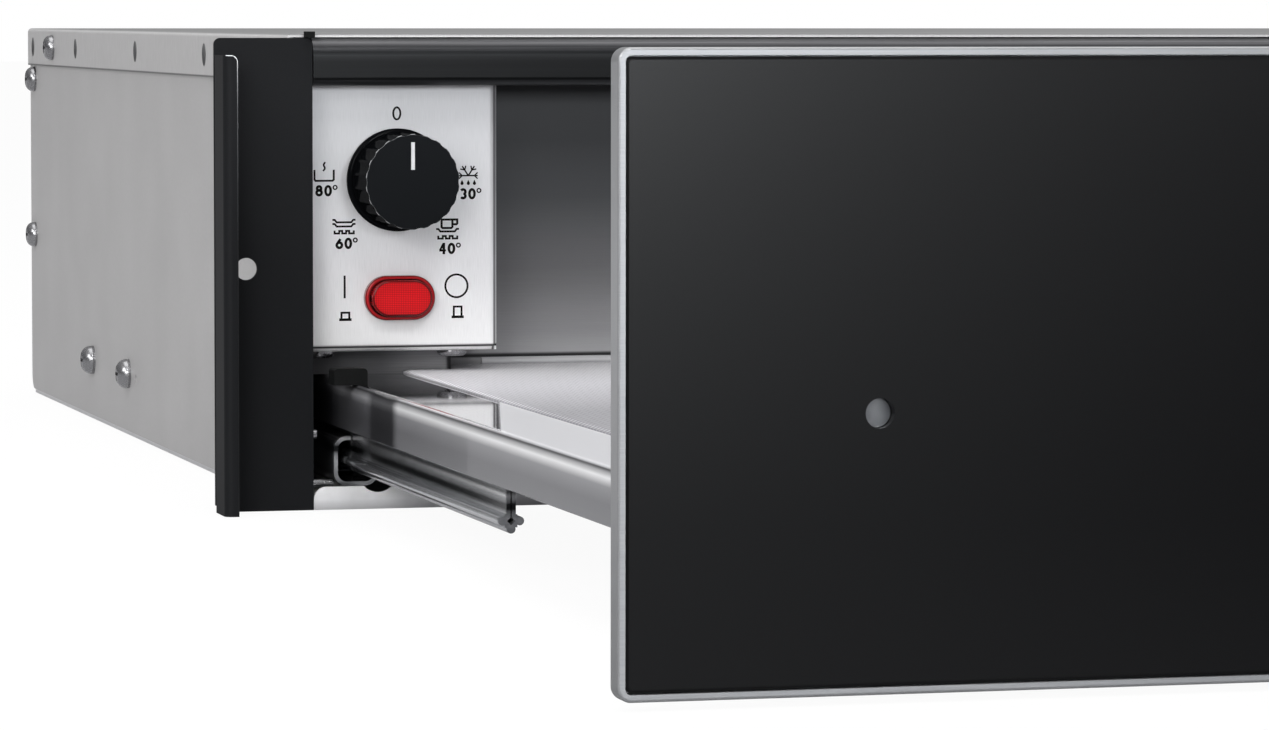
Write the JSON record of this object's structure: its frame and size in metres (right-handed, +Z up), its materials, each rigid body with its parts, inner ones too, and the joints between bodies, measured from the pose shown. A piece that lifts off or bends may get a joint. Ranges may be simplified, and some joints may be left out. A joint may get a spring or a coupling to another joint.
{
  "type": "built-in warming drawer",
  "caption": "Low built-in warming drawer with a black glass front in a slim metal frame, shown pulled out on ball-bearing runners; knob and lit switch behind the front.",
  "frame": {"origin": "middle of the niche's front edge, on the niche floor: X = 0 is the middle, Y = 0 the back of the black flanges, Z = 0 the underside", "axes": "+X to the right seen from the room, +Y from the room into the niche, +Z up"},
  "size_m": [0.595, 1.011, 0.1429],
  "materials": {
    "galvanised_steel": "zinc coated sheet, matt",
    "black_steel": "black powder coat, satin",
    "dark_rail": "dark coated, satin gloss",
    "panel_steel": "fine satin stainless",
    "stainless": "polished stainless steel",
    "back_steel": "satin stainless steel",
    "runner_steel": "bright zinc plated steel",
    "aluminium": "satin anodised",
    "black_glass": "black back-printed glass, polished",
    "clear_plastic": "smoked clear plastic",
    "black_plastic": "moulded, semi gloss",
    "matt_plastic": "moulded, matt",
    "cream_plastic": "moulded, matt",
    "red_lens": "translucent red, fine grid",
    "white_plastic": "moulded, matt",
    "rubber": "moulded rubber",
    "mat_rubber": "light grey silicone, dotted",
    "screw_steel": "bright zinc plated",
    "heater_steel": "dark heat resistant steel",
    "ball_steel": "polished bearing steel"
  },
  "bodies": {
    "casing": {"base_panel": "galvanised_steel", "body_screws": "screw_steel", "cabinet_rail_left": "runner_steel", "cabinet_rail_right": "runner_steel", "cable_gland": "matt_plastic", "control_box": "galvanised_steel", "control_panel": "panel_steel", "corner_pads": "rubber", "fan_housing": "matt_plastic", "front_flange_left": "black_steel", "front_flange_right": "black_steel", "gland_nut": "matt_plastic", "heater_clips": "galvanised_steel", "heater_element": "heater_steel", "heater_guard": "stainless", "latch_housing": "matt_plastic", "panel_screws": "screw_steel", "rail_supports_left": "galvanised_steel", "rail_supports_right": "galvanised_steel", "rear_panel": "galvanised_steel", "side_panel_left": "galvanised_steel", "side_panel_right": "galvanised_steel", "switch_bezel": "red_lens", "switch_housing": "black_plastic", "terminal_block": "cream_plastic", "thermostat": "cream_plastic", "top_cover": "galvanised_steel", "top_rail": "dark_rail"},
    "drawer": {"front_frame": "aluminium", "glass_panel": "black_glass", "front_backing": "galvanised_steel", "light_pipe": "clear_plastic", "drawer_tray": "stainless", "anti_slip_mat": "mat_rubber", "drawer_back": "back_steel", "tray_stops": "matt_plastic", "tray_strip": "back_steel", "front_brackets": "galvanised_steel", "drawer_buffers": "rubber", "latch_striker": "galvanised_steel", "drawer_rail_left": "runner_steel", "drawer_rail_right": "runner_steel"},
    "knob": {"knob": "black_plastic", "knob_pointer": "white_plastic", "knob_shaft": "screw_steel"},
    "switch_cap": {"switch_cap": "red_lens"},
    "fan_rotor": {"fan_rotor": "matt_plastic"},
    "latch_plunger": {"latch_plunger": "white_plastic"},
    "middle_rail_left": {"middle_rail_left": "runner_steel"},
    "lower_cage_left": {"lower_ball_cage_left": "matt_plastic", "lower_balls_left": "ball_steel"},
    "upper_cage_left": {"upper_ball_cage_left": "matt_plastic", "upper_balls_left": "ball_steel"},
    "middle_rail_right": {"middle_rail_right": "runner_steel"},
    "lower_cage_right": {"lower_ball_cage_right": "matt_plastic", "lower_balls_right": "ball_steel"},
    "upper_cage_right": {"upper_ball_cage_right": "matt_plastic", "upper_balls_right": "ball_steel"}
  },
  "joints": [
    {"name": "drawer_slide", "type": "slide", "parent": "casing", "child": "drawer", "axis": [0, 1, 0], "range_m": [0, 0.45]},
    {"name": "knob_turn", "type": "hinge", "parent": "casing", "child": "knob", "pos_m": [-0.2394, 0.012, 0.0982], "axis": [0, 1, 0], "range_deg": [0, 265]},
    {"name": "switch_press", "type": "slide", "parent": "casing", "child": "switch_cap", "axis": [0, 1, 0], "range_m": [0, 0.003], "stiffness_N_per_m": 400},
    {"name": "fan_spin", "type": "hinge", "parent": "casing", "child": "fan_rotor", "pos_m": [0.11, 0.51, 0.084], "axis": [0, 1, 0], "continuous": true},
    {"name": "latch_press", "type": "slide", "parent": "casing", "child": "latch_plunger", "axis": [0, 1, 0], "range_m": [0, 0.003], "stiffness_N_per_m": 500},
    {"name": "middle_rail_left_slide", "type": "slide", "parent": "casing", "child": "middle_rail_left", "axis": [0, 1, 0], "range_m": [0, 0.225]},
    {"name": "lower_cage_left_slide", "type": "slide", "parent": "casing", "child": "lower_cage_left", "axis": [0, 1, 0], "range_m": [0, 0.1125]},
    {"name": "upper_cage_left_slide", "type": "slide", "parent": "casing", "child": "upper_cage_left", "axis": [0, 1, 0], "range_m": [0, 0.3375]},
    {"name": "middle_rail_right_slide", "type": "slide", "parent": "casing", "child": "middle_rail_right", "axis": [0, 1, 0], "range_m": [0, 0.225]},
    {"name": "lower_cage_right_slide", "type": "slide", "parent": "casing", "child": "lower_cage_right", "axis": [0, 1, 0], "range_m": [0, 0.1125]},
    {"name": "upper_cage_right_slide", "type": "slide", "parent": "casing", "child": "upper_cage_right", "axis": [0, 1, 0], "range_m": [0, 0.3375]}
  ],
  "couplings": [
    {"joint": "middle_rail_left_slide", "follows": "drawer_slide", "ratio": 0.5},
    {"joint": "lower_cage_left_slide", "follows": "drawer_slide", "ratio": 0.25},
    {"joint": "upper_cage_left_slide", "follows": "drawer_slide", "ratio": 0.75},
    {"joint": "middle_rail_right_slide", "follows": "drawer_slide", "ratio": 0.5},
    {"joint": "lower_cage_right_slide", "follows": "drawer_slide", "ratio": 0.25},
    {"joint": "upper_cage_right_slide", "follows": "drawer_slide", "ratio": 0.75}
  ]
}
